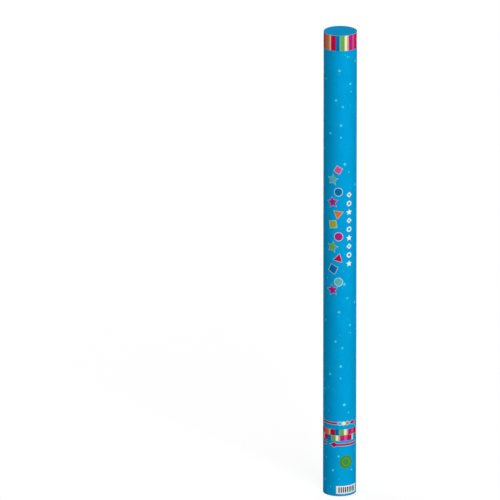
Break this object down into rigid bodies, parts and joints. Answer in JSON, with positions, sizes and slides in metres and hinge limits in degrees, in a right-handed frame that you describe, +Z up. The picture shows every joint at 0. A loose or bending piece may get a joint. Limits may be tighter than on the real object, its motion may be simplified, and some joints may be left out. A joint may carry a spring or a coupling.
{
  "type": "confetti popper",
  "caption": "Tall thin hand-held confetti popper: a printed paper tube turned on a short grip opens an air bottle, which drives confetti out of the capped top.",
  "frame": {"origin": "centre of the flat base, on the surface that the popper stands on", "axes": "+Z up along the tube towards the muzzle, -Y towards the front of the print, +X to its right"},
  "size_m": [0.042, 0.042, 0.61],
  "materials": {
    "printed_paper": "satin",
    "cap_paper": "matte",
    "tube_board": "matte",
    "base_plastic": "satin",
    "bottle_plastic": "gloss",
    "valve_plastic": "satin",
    "cam_plastic": "satin",
    "stopper_plastic": "satin",
    "washer_plastic": "satin",
    "rubber": "matte",
    "band_metal": "satin",
    "pin_steel": "polished",
    "ring_steel": "satin",
    "foam": "matte",
    "tissue_pink": "matte",
    "tissue_orange": "matte",
    "tissue_yellow": "matte",
    "tissue_green": "matte",
    "tissue_blue": "matte",
    "tissue_magenta": "matte"
  },
  "bodies": {
    "grip": {"grip_tube": "tube_board", "grip_wrap": "printed_paper", "base_plug": "base_plastic", "air_bottle": "bottle_plastic", "fill_grommet": "rubber", "bottle_cradle": "tube_board", "neck_gasket": "rubber", "valve_body": "valve_plastic", "crimp_band": "band_metal", "thrust_washer": "washer_plastic"},
    "barrel": {"launch_tube": "tube_board", "barrel_wrap": "printed_paper", "coupler_sleeve": "tube_board", "cam_housing": "cam_plastic", "retaining_ring": "ring_steel", "diffuser_plate": "valve_plastic"},
    "stopper": {"valve_stopper": "stopper_plastic", "stopper_o_ring": "rubber", "cross_pin": "pin_steel"},
    "charge": {"pusher_card": "tube_board", "pusher_foam": "foam", "confetti_pink": "tissue_pink", "confetti_orange": "tissue_orange", "confetti_yellow": "tissue_yellow", "confetti_green": "tissue_green", "confetti_blue": "tissue_blue", "confetti_magenta": "tissue_magenta"},
    "cap": {"muzzle_plug": "foam", "muzzle_disc": "cap_paper"}
  },
  "joints": [
    {"name": "barrel_twist", "type": "hinge", "parent": "grip", "child": "barrel", "pos_m": [0, 0, 0.0812], "axis": [0, 0, 1], "range_deg": [0, 120]},
    {"name": "stopper_lift", "type": "slide", "parent": "grip", "child": "stopper", "axis": [0, 0, 1], "range_m": [0, 0.006]},
    {"name": "charge_launch", "type": "slide", "parent": "barrel", "child": "charge", "axis": [0, 0, 1], "range_m": [0, 0.4748]},
    {"name": "cap_pop", "type": "slide", "parent": "barrel", "child": "cap", "axis": [0, 0, 1], "range_m": [0, 0.4748]}
  ],
  "couplings": [
    {"joint": "stopper_lift", "follows": "barrel_twist", "m_per_rad": 0.0028648},
    {"joint": "cap_pop", "follows": "charge_launch", "ratio": 1}
  ]
}
